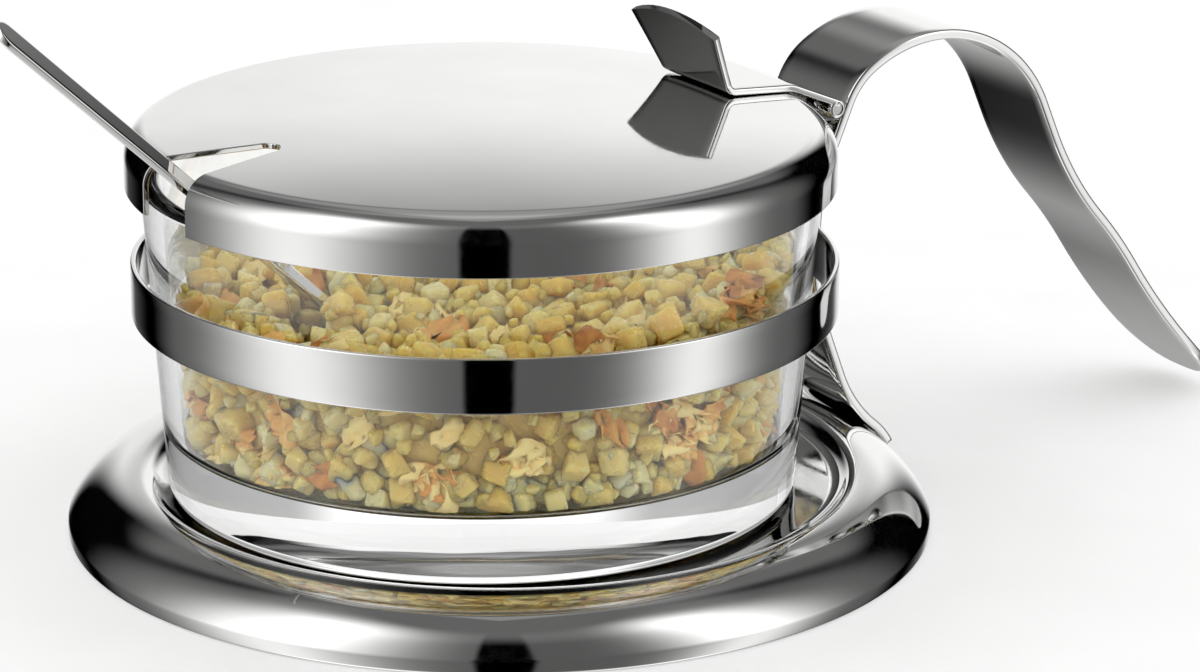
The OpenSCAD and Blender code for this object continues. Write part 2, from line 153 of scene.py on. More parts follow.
def add_range(nodes, links, value, low, high, start=0.3, stop=0.7):
    """Maps a texture's value onto the range from low to high."""
    ranged = nodes.new("ShaderNodeMapRange")
    ranged.inputs["From Min"].default_value = start
    ranged.inputs["From Max"].default_value = stop
    ranged.inputs["To Min"].default_value = low
    ranged.inputs["To Max"].default_value = high
    links.new(value, ranged.inputs["Value"])
    return ranged.outputs["Result"]


def add_ramp(nodes, links, value, colours):
    """Maps a texture's value onto a row of colours, each (position, colour)."""
    ramp = nodes.new("ShaderNodeValToRGB")
    bands = ramp.color_ramp.elements
    while len(bands) < len(colours):
        bands.new(0.5)
    for band, (position, colour) in zip(bands, colours):
        band.position = position
        band.color = (*colour, 1)
    links.new(value, ramp.inputs["Fac"])
    return ramp.outputs["Color"]


def add_bump(nodes, links, value, strength, depth):
    """A fine relief from a texture's value; returns the normal."""
    bump = nodes.new("ShaderNodeBump")
    bump.inputs["Strength"].default_value = strength
    bump.inputs["Distance"].default_value = depth
    links.new(value, bump.inputs["Height"])
    return bump.outputs["Normal"]


def steel_finish(name, dull, bright, rough_low, rough_high, rub=(1, 1, 1), relief=0.02):
    """Stainless steel: cloudy polish, faint rub marks along one direction and a fine relief."""
    finish, nodes, links, shader, place = blank_finish(name)
    shader.inputs["Metallic"].default_value = 1.0
    polish = add_noise(nodes, links, place, scale=55, detail=3)
    rub_marks = add_noise(nodes, links, place, scale=900, detail=4, stretch=rub)
    links.new(add_ramp(nodes, links, polish, [(0.3, dull), (0.7, bright)]), shader.inputs["Base Color"])
    links.new(add_range(nodes, links, rub_marks, rough_low, rough_high), shader.inputs["Roughness"])
    links.new(add_bump(nodes, links, rub_marks, relief, depth=0.00002), shader.inputs["Normal"])
    return finish


mirror_steel = steel_finish("mirror_steel", dull=(0.76, 0.76, 0.75), bright=(0.82, 0.82, 0.81),
                            rough_low=0.03, rough_high=0.07)
saucer_moves = [(well_r, 0), (well_edge_r, well_edge_turn), (crest_in_r, -well_edge_turn),
                (roll_r, -roll_turn), (edge_bend_r, roll_turn - 90)]
edge_high = follow((0, well_z), 0, saucer_moves)[-1][0][1]
saucer_moves.append((edge_high - saucer_t / 2, 0))
saucer_marks = follow((0, well_z), 0, saucer_moves)
mesh = bmesh.new()
add_turned(mesh, sheet_section(saucer_marks, saucer_t), steps=320)
bmesh.ops.translate(mesh, verts=mesh.verts[:], vec=(saucer_shift * mm, 0, 0))
saucer = finished_piece("saucer", mesh, mirror_steel)
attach(saucer, "stand")
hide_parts("base_saucer")

# Jar
# Pressed clear glass with a heavy bottom, a slight flare and a fire-polished rim. It stands
# loose in the saucer's well and lifts out past the open lid.
jar_z = well_z
jar_foot_r = 43.2
jar_slope = 3.958
jar_wall = 2.6
jar_edge_r = 1.8
jar_inner_r = 1.5
jar_floor_z = 15.0
jar_top = 51.0
jar_hollow_h = 0.15
foot_ring_w = 4.0
foot_ring_r = 2.0
lean = math.radians(jar_slope)
foot_flat = jar_foot_r + jar_edge_r * math.tan(lean) - jar_edge_r / math.cos(lean)
wall_rise = jar_top - jar_z - jar_edge_r * (1 - math.sin(lean)) - jar_wall / 2 * (1 + math.sin(lean))
wall_run = wall_rise / math.cos(lean)
inner_rise = jar_top - jar_floor_z - (jar_wall / 2 + jar_inner_r) * (1 - math.sin(lean))
inner_run = inner_rise / math.cos(lean)
hollow_r = foot_flat - foot_ring_w
hollow_run = math.hypot(hollow_r, jar_hollow_h)
hollow_fall = math.degrees(math.atan2(jar_hollow_h, hollow_r))
jar_moves = [(hollow_run, 0), (foot_ring_r, hollow_fall), (foot_ring_w, 0), (jar_edge_r, 90 - jar_slope),
             (wall_run, 0), (jar_wall / 2, 180), (inner_run, 0), (jar_inner_r, jar_slope - 90)]
jar_marks = follow((0, jar_z + jar_hollow_h), -hollow_fall, jar_moves, bend_step=4)
jar_outline = [point for point, heading in jar_marks]
jar_outline.append((0, jar_outline[-1][1]))


def glass_finish():
    """Clear pressed glass: nearly colourless, with the faint waviness of a mould."""
    finish, nodes, links, shader, place = blank_finish("clear_pressed_glass")
    shader.inputs["Transmission Weight"].default_value = 1.0
    shader.inputs["IOR"].default_value = 1.5
    wave = add_noise(nodes, links, place, scale=45, detail=2)
    tints = [(0.3, (0.98, 0.995, 0.985)), (0.7, (1, 1, 1))]
    links.new(add_ramp(nodes, links, wave, tints), shader.inputs["Base Color"])
    links.new(add_range(nodes, links, wave, low=0.0, high=0.015), shader.inputs["Roughness"])
    links.new(add_bump(nodes, links, wave, strength=0.08, depth=0.0004), shader.inputs["Normal"])
    return finish


mesh = bmesh.new()
add_turned(mesh, jar_outline, steps=256)
jar = finished_piece("jar", mesh, glass_finish())
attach(jar, "stand")
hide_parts("glass_jar")

# Salt
# Coarse pale yellow crystals with dried orange petals, poured loose into the jar. The grains
# lie along the glass, the heap's top and the spoon's furrow, round a heart the eye doesn't reach.
salt_low = 15.3
salt_middle = 38.0
salt_rise = math.tan(math.radians(6))
salt_clear = 0.3
furrow_r = 11.3
furrow_axis = 6.0
furrow_half = 9.87
furrow_roof = 0.5
furrow_length = 30.0
furrow_steps = 24
bowl_place = (-9.882, 2.4, 23.2)
spoon_slope = 43.0
spoon_roll = -28.0
furrow_upto, glass_upto, top_upto = 0.08, 0.48, 0.85
grain_room, grain_tries = 3.7, 12000
grain_sizes = (1.4, 2.3)
grain_lifts = (-0.2, 1.0)
under_room, under_tries = 3.0, 14000
under_sink = 1.6
bit_room, bit_tries = 2.8, 12000
bit_sizes = (0.7, 1.3)
bit_sink = 0.7
petal_room, petal_tries = 6.0, 3000
petal_share = 0.6
petal_sizes = (3.5, 8.0)
petal_clear = 2.4
petal_t = 0.12
petal_long, petal_wide = 9, 6
petal_curl, petal_fold = 0.18, 0.3
petal_crinkle, petal_rough = 0.13, 0.45
petal_shy = 0.15
petal_heap_turn, petal_heap_rise = 4.0, 2.0
crystal_kinds, chip_kinds = 16, 10
crystal_block = 1.7
crystal_skew = 0.3
crystal_wear = (0.35, 0.6)
any_turn = (0, 6.28)
heart_inset = 3.2
heart_steps = 6
salt_seed = 11
chance = random.Random(salt_seed)
spoon_lie = (Matrix.Translation([part * mm for part in bowl_place])
             @ Matrix.Rotation(math.pi, 4, "Z")
             @ Matrix.Rotation(math.radians(-spoon_slope), 4, "Y")
             @ Matrix.Rotation(math.radians(spoon_roll), 4, "X"))


def crystal_finish():
    """Translucent salt crystal: each grain its own shade, clouded inside, with a frosted skin."""
    finish, nodes, links, shader, place = blank_finish("yellow_salt_crystal")
    which = nodes.new("ShaderNodeNewGeometry").outputs["Random Per Island"]
    shades = [(0.0, (0.78, 0.51, 0.14)), (0.4, (0.87, 0.60, 0.20)), (0.8, (0.92, 0.68, 0.28)),
              (1.0, (0.95, 0.79, 0.44))]
    links.new(add_ramp(nodes, links, which, shades), shader.inputs["Base Color"])
    frost = add_noise(nodes, links, place, scale=500, detail=3)
    links.new(add_range(nodes, links, frost, low=0.18, high=0.42), shader.inputs["Roughness"])
    links.new(add_bump(nodes, links, frost, strength=0.06, depth=0.0001), shader.inputs["Normal"])
    shader.inputs["Specular IOR Level"].default_value = 0.35
    shader.inputs["Transmission Weight"].default_value = 0.25
    shader.inputs["IOR"].default_value = 1.5
    shader.inputs["Subsurface Weight"].default_value = 1.0
    shader.inputs["Subsurface Radius"].default_value = (1.0, 0.8, 0.4)
    shader.inputs["Subsurface Scale"].default_value = 0.004
    return finish


def petal_finish():
    """Dried petal: orange to rust, blotched along its length, with a matt crinkled skin."""
    finish, nodes, links, shader, place = blank_finish("dried_petal")
    which = nodes.new("ShaderNodeNewGeometry").outputs["Random Per Island"]
    blotch = add_noise(nodes, links, place, scale=420, detail=5)
    blend = nodes.new("ShaderNodeMath")
    blend.operation = "MULTIPLY_ADD"
    blend.inputs[1].default_value = 0.8
    links.new(blotch, blend.inputs[0])
    links.new(which, blend.inputs[2])
    shades = [(0.2, (0.30, 0.10, 0.02)), (0.6, (0.64, 0.30, 0.08)), (0.9, (0.82, 0.49, 0.16)),
              (1.0, (0.90, 0.70, 0.30))]
    links.new(add_ramp(nodes, links, blend.outputs["Value"], shades), shader.inputs["Base Color"])
    links.new(add_range(nodes, links, blotch, low=0.45, high=0.75), shader.inputs["Roughness"])
    links.new(add_bump(nodes, links, blotch, strength=0.5, depth=0.0003), shader.inputs["Normal"])
    shader.inputs["Specular IOR Level"].default_value = 0.2
    shader.inputs["Subsurface Weight"].default_value = 0.15
    shader.inputs["Subsurface Scale"].default_value = 0.0008
    return finish


def crystal_shape(segments):
    """Corner points and faces of one crystal about 2 units across: a skewed block, edges worn."""
    block = bmesh.new()
    bmesh.ops.create_cube(block, size=crystal_block)
    for corner in block.verts:
        corner.co += Vector([chance.uniform(-crystal_skew, crystal_skew) for _ in range(3)])
    bmesh.ops.bevel(block, geom=block.edges[:], offset=chance.uniform(*crystal_wear), segments=segments,
                    profile=0.6, affect="EDGES", clamp_overlap=True)
    block.verts.index_update()
    points = [corner.co.copy() for corner in block.verts]
    faces = [[corner.index for corner in face.verts] for face in block.faces]
    block.free()
    return points, faces


def heap_r(height):
    """The heap's radius at a height: the jar's inside less a little room, rounded at the floor."""
    full = jar_foot_r + (height - jar_z) * math.tan(lean) - jar_wall / math.cos(lean) - salt_clear
    short = max(0.0, salt_low + jar_inner_r - height)
    return full - jar_inner_r + math.sqrt(max(0.0, jar_inner_r ** 2 - short ** 2))


def heap_top(x):
    """The height of the heap's sloping top."""
    return salt_middle + x * salt_rise


def kept_inside(point):
    """The point, drawn back to the heap's outside where it would stand in the glass."""
    height = max(salt_low, point.z / mm)
    draw = min(1.0, heap_r(height) * mm / max(mm, math.hypot(point.x, point.y)))
    return Vector((point.x * draw, point.y * draw, height * mm))


def in_furrow(spot):
    """Whether a point lies in the furrow that the spoon slides in."""
    x, y, z = spoon_lie.inverted() @ spot / mm
    depth = math.hypot(y, z - furrow_axis) if x > 0 else math.dist((x, y, z), (0, 0, furrow_axis))
    return z < furrow_roof and depth < furrow_r


def glass_spot(around, height):
    """A point against the glass, with the way out from the heap there."""
    height = min(max(height, salt_low), heap_top(heap_r(salt_middle) * math.cos(around)))
    radius = heap_r(height)
    down = max(math.sin(lean), (salt_low + jar_inner_r - height) / jar_inner_r)
    level = math.sqrt(1 - min(1.0, down) ** 2)
    outward = Vector((level * math.cos(around), level * math.sin(around), -down))
    return Vector((radius * math.cos(around), radius * math.sin(around), height)) * mm, outward.normalized()


def flat_spot(around, on_top):
    """A point on the heap's top or on its floor, with the way out from the heap there."""
    reach = heap_r(salt_middle) if on_top else heap_r(salt_low)
    radius = reach * math.sqrt(chance.random())
    x, y = radius * math.cos(around), radius * math.sin(around)
    if on_top:
        return Vector((x, y, heap_top(x))) * mm, Vector((-salt_rise, 0, 1)).normalized()
    return Vector((x, y, salt_low)) * mm, Vector((0, 0, -1))


def furrow_spot():
    """A point on the furrow's round floor or on its flat roof, with the way into the furrow."""
    x = chance.uniform(0, furrow_length)
    y = chance.uniform(-furrow_half, furrow_half)
    away = Vector((0, 0, -1))
    spot = Vector((x, y, furrow_roof))
    if chance.random() < 0.5:
        spot.z = furrow_axis - math.sqrt(furrow_r ** 2 - y ** 2)
        away = Vector((0, -y, furrow_axis - spot.z)).normalized()
    return spoon_lie @ (spot * mm), spoon_lie.to_3x3() @ away


def heap_spot():
    """A point picked anywhere on the heap's outside, or nothing where another side cuts it off."""
    around = chance.uniform(0, 2 * math.pi)
    side = chance.random()
    if side < furrow_upto:
        spot, outward = furrow_spot()
        radius = math.hypot(spot.x, spot.y) / mm
        covered = heap_top(spot.x / mm) * mm > spot.z and radius < heap_r(spot.z / mm) - 0.5
        return (spot, outward) if covered else None
    height = chance.uniform(salt_low, heap_top(heap_r(salt_middle)))
    spot, outward = glass_spot(around, height) if side < glass_upto else flat_spot(around, side < top_upto)
    return None if in_furrow(spot) else (spot, outward)


def scatter(room, tries):
    """Points spread over the heap's outside at least the room apart, each with its way out."""
    picked = []
    cells = {}
    for found in [heap_spot() for _ in range(tries)]:
        if found is None:
            continue
        cell = tuple(int(math.floor(part / room)) for part in found[0])
        near = [p for i in (-1, 0, 1) for j in (-1, 0, 1) for k in (-1, 0, 1)
                for p in cells.get((cell[0] + i, cell[1] + j, cell[2] + k), [])]
        if all((found[0] - p).length > room for p in near):
            cells.setdefault(cell, []).append(found[0])
            picked.append(found)
    return picked


petal_spots = [spot for spot in scatter(petal_room * mm, petal_tries)
               if spot[1].z > -0.5 and chance.random() < petal_share]
petal_heaps = [(-79, 22, 8), (-86, 27, 4), (-169, 17, 3), (-157, 24, 2), (-131, 18, 5), (-113, 21, 3),
               (-151, 40, 3), (-103, 40, 3), (-63, 40, 5)]
for turn, height, count in petal_heaps:
    for _ in range(count):
        around = math.radians(turn + chance.uniform(-petal_heap_turn, petal_heap_turn))
        petal_spots.append(glass_spot(around, height + chance.uniform(-petal_heap_rise, petal_heap_rise)))


def lay_grains(name, spots, shapes, sizes, sink, finish):
    """One mesh of many grains, each turned its own way and pressed up against the heap's outside.
    Grains that are sunk less than a millimetre leave room for the petals."""
    points = []
    faces = []
    for spot, outward in spots:
        if sink < 1 and any((spot - petal).length < petal_clear * mm for petal, _ in petal_spots):
            continue
        shape, sides = chance.choice(shapes)
        size = chance.uniform(*sizes) * mm
        stretch = Vector((chance.uniform(0.8, 1.25), chance.uniform(0.8, 1.1), chance.uniform(0.75, 1.0)))
        turn = Euler([chance.uniform(*any_turn) for _ in range(3)]).to_matrix()
        grain = [turn @ Vector([p * q * size for p, q in zip(point, stretch)]) for point in shape]
        reach = max(point.dot(outward) for point in grain)
        on_top = outward.z > 0.9
        lift = chance.uniform(*grain_lifts) * mm if on_top else 0
        first = len(points)
        points += [kept_inside(spot + point - outward * (reach + sink * mm - lift)) for point in grain]
        faces += [[first + k for k in side] for side in sides]
    data = bpy.data.meshes.new(name)
    data.from_pydata(points, [], faces)
    data.shade_smooth()
    data.materials.append(finish)
    grains = bpy.data.objects.new(name, data)
    bpy.context.scene.collection.objects.link(grains)
    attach(grains, "stand")


crystal = crystal_finish()
worn_crystals = [crystal_shape(segments=3) for _ in range(crystal_kinds)]
chips = [crystal_shape(segments=2) for _ in range(chip_kinds)]
lay_grains("salt_grains", scatter(grain_room * mm, grain_tries), worn_crystals, grain_sizes, 0, crystal)
lay_grains("salt_under", scatter(under_room * mm, under_tries), chips, grain_sizes, under_sink, crystal)
lay_grains("salt_bits", scatter(bit_room * mm, bit_tries), chips, bit_sizes, bit_sink, crystal)


def add_petal(mesh, spot, outward):
    """One crumpled petal of thin skin: a torn leaf shape, curled, folded and pressed to the outside."""
    length = chance.uniform(*petal_sizes) * mm
    width = length * chance.uniform(0.4, 0.75)
    curl, fold, twist = (chance.uniform(-1, 1) for _ in range(3))
    tear = chance.uniform(2, 5)
    phase = chance.uniform(*any_turn)
    along = Matrix.Rotation(chance.uniform(*any_turn), 3, outward) @ outward.orthogonal().normalized()
    aside = outward.cross(along)
    rows = []
    for i in range(petal_long + 1):
        u = i / petal_long * 2 - 1
        ragged = 1 + 0.25 * math.sin(tear * u + phase) + chance.uniform(-0.08, 0.08)
        half = width / 2 * ragged * math.sqrt(max(0.05, 1 - abs(u) ** 2.2))
        row = []
        for j in range(petal_wide + 1):
            v = j / petal_wide * 2 - 1
            rise = petal_curl * length * (curl * u * u + twist * u * v) + petal_fold * width * fold * abs(v)
            crinkle = petal_crinkle * length * math.sin(tear * v + 4 * u + phase)
            rise += crinkle + chance.uniform(-petal_rough, petal_rough) * mm
            row.append(along * (u * length / 2) + aside * (v * half) + outward * rise)
        rows.append(row)
    reach = max(point.dot(outward) for row in rows for point in row) + petal_shy * mm
    rows = [[mesh.verts.new(kept_inside(spot + point - outward * reach)) for point in row] for row in rows]
    for row, after in zip(rows, rows[1:]):
        for j in range(petal_wide):
            mesh.faces.new((row[j], row[j + 1], after[j + 1], after[j]))


mesh = bmesh.new()
for spot, outward in petal_spots:
    add_petal(mesh, spot, outward)
petals = finished_piece("petals", mesh, petal_finish())
skin = petals.modifiers.new("skin", "SOLIDIFY")
skin.thickness = petal_t * mm
skin.offset = -1
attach(petals, "stand")

heart_low = salt_low + heart_inset
heart_rise = salt_middle - heart_inset - heart_low
heart_heights = [heart_low + heart_rise * k / heart_steps for k in range(heart_steps + 1)]
heart_outline = [(0, heart_low)] + [(heap_r(height) - heart_inset, height) for height in heart_heights]
heart_outline.append((0, heart_heights[-1]))
mesh = bmesh.new()
add_turned(mesh, heart_outline, steps=96)
for corner in mesh.verts:
    upward = (corner.co.z / mm - heart_low) / (heart_heights[-1] - heart_low)
    corner.co.z += upward * corner.co.x * salt_rise
salt_heart = finished_piece("salt_heart", mesh, crystal)

mesh = bmesh.new()
wide_half = furrow_half + heart_inset
wide_roof = furrow_roof + heart_inset
furrow_loop = [(-wide_half, wide_roof), (wide_half, wide_roof)]
for k in range(furrow_steps + 1):
    y = wide_half * (1 - 2 * k / furrow_steps)
    furrow_loop.append((y, furrow_axis - math.sqrt((furrow_r + heart_inset) ** 2 - y ** 2)))
ends = []
for x in (-furrow_half, 3 * furrow_length):
    ends.append([mesh.verts.new((x * mm, y * mm, z * mm)) for y, z in furrow_loop])
for k in range(len(furrow_loop)):
    j = (k + 1) % len(furrow_loop)
    mesh.faces.new((ends[0][k], ends[0][j], ends[1][j], ends[1][k]))
mesh.faces.new(ends[0])
mesh.faces.new(ends[1])
bmesh.ops.transform(mesh, matrix=spoon_lie, verts=mesh.verts[:])
furrow = finished_piece("furrow", mesh, crystal)
cut = salt_heart.modifiers.new("furrow", "BOOLEAN")
cut.object = furrow
cut.operation = "DIFFERENCE"
cut.solver = "EXACT"
whole = salt_heart.data
hollowed = salt_heart.evaluated_get(bpy.context.evaluated_depsgraph_get())
salt_heart.data = bpy.data.meshes.new_from_object(hollowed)
salt_heart.modifiers.clear()
bpy.data.meshes.remove(whole)
bpy.data.objects.remove(furrow)
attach(salt_heart, "stand")
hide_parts("salt_fill")

# Band
# A flat ring of polished stainless strip that holds the jar upright, butt-joined behind and
# spot-welded to the handle strip there.
band_r = 48.293
band_t = 0.8
band_low = 31.3
band_high = 38.7
band_edge_r = 0.25
band_shift = 0.6
band_marks = follow((band_r, band_low + band_edge_r), 90,
                    [(band_high - band_low - 2 * band_edge_r, 0), (band_edge_r, 90),
                     (band_t - 2 * band_edge_r, 0), (band_edge_r, 90),
                     (band_high - band_low - 2 * band_edge_r, 0), (band_edge_r, 90),
                     (band_t - 2 * band_edge_r, 0), (band_edge_r, 90)], bend_step=18)
mesh = bmesh.new()
add_turned(mesh, [point for point, heading in band_marks[:-1]], steps=320)
bmesh.ops.translate(mesh, verts=mesh.verts[:], vec=(band_shift * mm, 0, 0))
band = finished_piece("band", mesh, mirror_steel)
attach(band, "stand")
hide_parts("jar_band")

# Handle strip
# One length of stainless flat bar, bent cold: its foot follows the saucer's roll, it stands
# upright behind the band, leans back past the hinge, and arches over into the flicked grip.
strip_t = 1.4
strip_half = 8.75
strip_edge_r = 0.35
weld_gap = 0.05
roll_middle = (52.9, -2.942)
foot_turn = (50.22, 29.74)
strip_x = 48.943
band_z = 35.0
weld_flat = 2.0
fall_run = 5.6
lean_at_pin = 22.97
rise_r = 31.08
seat_run = 7.1
arch_slope = 57.0
arch_moves = [(11.0, lean_at_pin - arch_slope), (21.5, -99.0), (5.5, 0), (49.6, 18.5), (74.0, -8.5),
              (107.0, 7.5), (87.0, 4.5)]
flick_run = 8.3
tip_reach = 8.5
tip_fullness = 3.0
tip_steps = 40
foot_r = roll_r + weld_gap
foot_from, foot_to = (math.radians(turn) for turn in foot_turn)
touch = (roll_middle[0] + foot_r * math.cos(foot_from), roll_middle[1] + foot_r * math.sin(foot_from))
fall = (touch[0] - strip_x, band_z - weld_flat / 2 - touch[1])
fall_turn = math.atan2(*fall)
fall_span = (math.hypot(*fall) - fall_run) / (2 * math.sin(foot_from / 2))
fall_r = fall_span * math.sin((foot_from - fall_turn) / 2) / math.sin(fall_turn / 2)
foot_bend_r = fall_span * math.sin(fall_turn / 2) / math.sin((foot_from - fall_turn) / 2)
foot_end = (roll_middle[0] + foot_r * math.cos(foot_to), roll_middle[1] + foot_r * math.sin(foot_to))
fall_angle = math.degrees(fall_turn)
strip_moves = [(foot_r, foot_turn[0] - foot_turn[1]), (foot_bend_r, fall_angle - foot_turn[0]),
               (fall_run, 0), (fall_r, -fall_angle), (weld_flat, 0), (rise_r, -lean_at_pin),
               (seat_run, 0)] + arch_moves
strip_marks = follow(foot_end, 90 + foot_turn[1], strip_moves, bend_step=1.5, run_step=1.0)
(flick_x, flick_z), flick_heading = strip_marks[-1]
flick_way = (math.cos(math.radians(flick_heading)), math.sin(math.radians(flick_heading)))
flick_length = flick_run - strip_t / flick_way[0]
for k in range(1, tip_steps + 1):
    gone = flick_length * math.sin(math.pi / 2 * k / tip_steps)
    strip_marks.append(((flick_x + gone * flick_way[0], flick_z + gone * flick_way[1]), flick_heading))
tip_x = strip_marks[-1][0][0]


def strip_half_at(mark):
    """Half the strip's width at a mark: full, then drawn in to the round of the handle's end."""
    gone = min(1.0, max(0.0, 1 - (tip_x - mark[0][0]) / tip_reach))
    return max(0.02, strip_half * (1 - gone ** tip_fullness) ** (1 / tip_fullness))


def strip_loop(half, thick, edge_r, columns):
    """Points (across, deep) once round a strip's section, its four long edges rounded."""
    edge_r = min(edge_r, half, thick / 2)
    flat = half - edge_r
    turns = [math.radians(22.5 * k) for k in range(5)]
    edge = [(flat + edge_r * math.sin(turn), edge_r * (1 - math.cos(turn))) for turn in turns]
    loop = [(v * flat, 0) for v in columns]
    loop += [(out, deep) for out, deep in edge[1:]]
    loop += [(out, thick - deep) for out, deep in edge[::-1]]
    loop += [(v * flat, thick) for v in reversed(columns[:-1])]
    loop += [(-out, thick - deep) for out, deep in edge[1:]]
    loop += [(-out, deep) for out, deep in edge[:0:-1]]
    return loop


def add_strip(mesh, marks, half_at, thick, edge_r, columns, place):
    """Skins a bent strip: one ring of points for each mark, put in the room by place()."""
    rings = []
    for mark in marks:
        loop = strip_loop(half_at(mark), thick, edge_r, columns)
        rings.append([mesh.verts.new(place(mark, across, deep)) for across, deep in loop])
    for ring, after in zip(rings, rings[1:]):
        for k in range(len(ring)):
            j = (k + 1) % len(ring)
            mesh.faces.new((ring[k], ring[j], after[j], after[k]))
    mesh.faces.new(rings[0])
    mesh.faces.new(rings[-1])


def place_strip(mark, across, deep):
    """A point of the strip's section, set square to the strip at a mark."""
    x, z = to_the_right(mark, deep)
    return (x * mm, across * mm, z * mm)


even_columns = [k / 6 - 1 for k in range(13)]
mesh = bmesh.new()
add_strip(mesh, strip_marks, strip_half_at, strip_t, strip_edge_r, even_columns, place_strip)
handle = finished_piece("handle", mesh, mirror_steel)
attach(handle, "stand")
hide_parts("handle_strip")

# Hinge bracket and pin
# The middle knuckle is curled from a small plate welded down the strip's inner face, and a
# plain drawn pin runs through all three knuckles. Both are satin, straight from the press.
satin_steel = steel_finish("satin_steel", dull=(0.46, 0.46, 0.45), bright=(0.60, 0.60, 0.59),
                           rough_low=0.18, rough_high=0.34, rub=(1, 6, 1), relief=0.12)
for node in ("hinge_bracket", "hinge_pin"):
    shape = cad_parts[node]
    shape.data.materials.clear()
    shape.data.materials.append(satin_steel)

# Lid
# Drawn from one disc of polished stainless: a low crown, a rounded shoulder and a short straight
# skirt, with a round-ended notch cut in from the skirt for the spoon's stem. Soft light passes
# it, so that the salt below isn't left in the dark.
lid_t = 0.8
lid_r = 48.3
lid_edge_z = 49.4
skirt_h = 3.9
shoulder_r = 4.0
crown_h = 1.5
notch_length = 17.3
notch_end_r = 2.2
notch_mouth_half = 6.0
lid_wear = 0.15
crown_points = 120
lid_columns = 288
shoulder_x = lid_r - shoulder_r
shoulder_z = lid_edge_z + skirt_h
crown_r = (shoulder_x ** 2 + (shoulder_r + crown_h) ** 2 - shoulder_r ** 2) / (2 * crown_h)
crown_turn = math.degrees(math.asin(shoulder_x / (crown_r - shoulder_r)))
lid_top = shoulder_z + shoulder_r + crown_h
lid_marks = follow((0, lid_top), 0, [(crown_r, -crown_turn), (shoulder_r, crown_turn - 90), (skirt_h, 0)],
                   bend_step=3, run_step=0.4)
crown_turns = [math.radians(crown_turn * k / crown_points) for k in range(1, crown_points)]
lid_profile = [(crown_r * math.sin(turn), lid_top - crown_r * (1 - math.cos(turn))) for turn in crown_turns]
lid_profile += [point for point, heading in lid_marks if point[1] < lid_profile[-1][1] - 0.02]


def notch_half_angle(radius):
    """Half the angle that the spoon notch takes out of the lid at a radius."""
    inner = lid_r - notch_length
    if radius <= inner:
        return 0.0
    past_end = inner + notch_end_r
    spread = (notch_mouth_half - notch_end_r) / (lid_r - past_end)
    half = notch_end_r + spread * (radius - past_end)
    if radius < past_end:
        half = math.sqrt(notch_end_r ** 2 - (past_end - radius) ** 2)
    return math.asin(min(0.99, half / radius))


mesh = bmesh.new()
top = mesh.verts.new((0, 0, lid_top * mm))
rings = []
for radius, height in lid_profile:
    cut = notch_half_angle(radius)
    ring = []
    for k in range(lid_columns + 1):
        around = -math.pi + cut + (2 * math.pi - 2 * cut) * k / lid_columns
        ring.append(mesh.verts.new(round_point(radius, around, height)))
    rings.append(ring)
for k in range(lid_columns):
    mesh.faces.new((top, rings[0][k], rings[0][k + 1]))
for ring, after in zip(rings, rings[1:]):
    for k in range(lid_columns):
        mesh.faces.new((ring[k], after[k], after[k + 1], ring[k + 1]))
bmesh.ops.remove_doubles(mesh, verts=mesh.verts[:], dist=0.001 * mm)
lid = finished_piece("lid", mesh, mirror_steel)
sheet = lid.modifiers.new("sheet", "SOLIDIFY")
sheet.thickness = lid_t * mm
sheet.offset = -1
sheet.use_even_offset = True
worn = lid.modifiers.new("worn_edges", "BEVEL")
worn.width = lid_wear * mm
worn.segments = 2
worn.limit_method = "ANGLE"
worn.angle_limit = math.radians(50)
worn.harden_normals = True
lid.visible_diffuse = False
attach(lid, "lid")
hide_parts("lid_shell")

# Lid leaf and thumb tab
# One stamping of polished stainless, spot-welded on the crown: two knuckles curled at the back,
# a flat deck over the shoulder, and a domed tab bent up for the thumb.
pin_x = 52.2
hinge_z = 54.1
knuckle_r = 1.3
knuckle_bore_r = 0.85
knuckle_from, knuckle_to = 3.6, 9.5
leaf_t = 1.0
leaf_edge_r = 0.3
leaf_half = 8.5
tab_half = 10.75
tab_h = 10.5
tab_lean = 25.0
tab_arc_r = 30.0
tab_bend_r = 1.0
tab_inset = 12.8
wrap_r = shoulder_r + weld_gap + leaf_t
pin_away = math.hypot(pin_x - shoulder_x, hinge_z - shoulder_z)
leaf_fall = math.degrees(math.asin((wrap_r - knuckle_r) / pin_away))
leaf_fall -= math.degrees(math.atan2(hinge_z - shoulder_z, pin_x - shoulder_x))
leaf_run = math.sqrt(pin_away ** 2 - (wrap_r - knuckle_r) ** 2)
deck_run = (tab_inset - shoulder_r) / math.cos(math.radians(crown_turn))
leaf_slope = math.radians(leaf_fall)
leaf_start = (pin_x + knuckle_r * math.sin(leaf_slope), hinge_z + knuckle_r * math.cos(leaf_slope))
leaf_moves = [(leaf_run, 0), (wrap_r, leaf_fall - crown_turn), (deck_run, 0),
              (tab_bend_r, tab_lean + crown_turn - 90)]
leaf_marks = follow(leaf_start, 180 - leaf_fall, leaf_moves, bend_step=3, run_step=0.5)
tab_start = leaf_marks[-1]
tab_marks = follow(tab_start[0], tab_start[1], [(tab_h, 0)], run_step=0.35)
leaf_marks += tab_marks[1:]


def tab_gone(mark):
    """How far up the tab a mark lies, or a negative number before the tab."""
    if abs(mark[1] - tab_start[1]) > 0.01:
        return -1.0
    return math.dist(mark[0], tab_start[0])


def leaf_half_at(mark):
    """Half the leaf's width at a mark: wide at the barrel, then even, then out to the tab's ears."""
    gone = tab_gone(mark)
    if gone >= 0:
        return leaf_half + (tab_half - leaf_half) * gone / tab_h
    back = max(0.0, (mark[0][0] - shoulder_x) / (pin_x - shoulder_x))
    return leaf_half + (knuckle_to - leaf_half) * min(1.0, back)


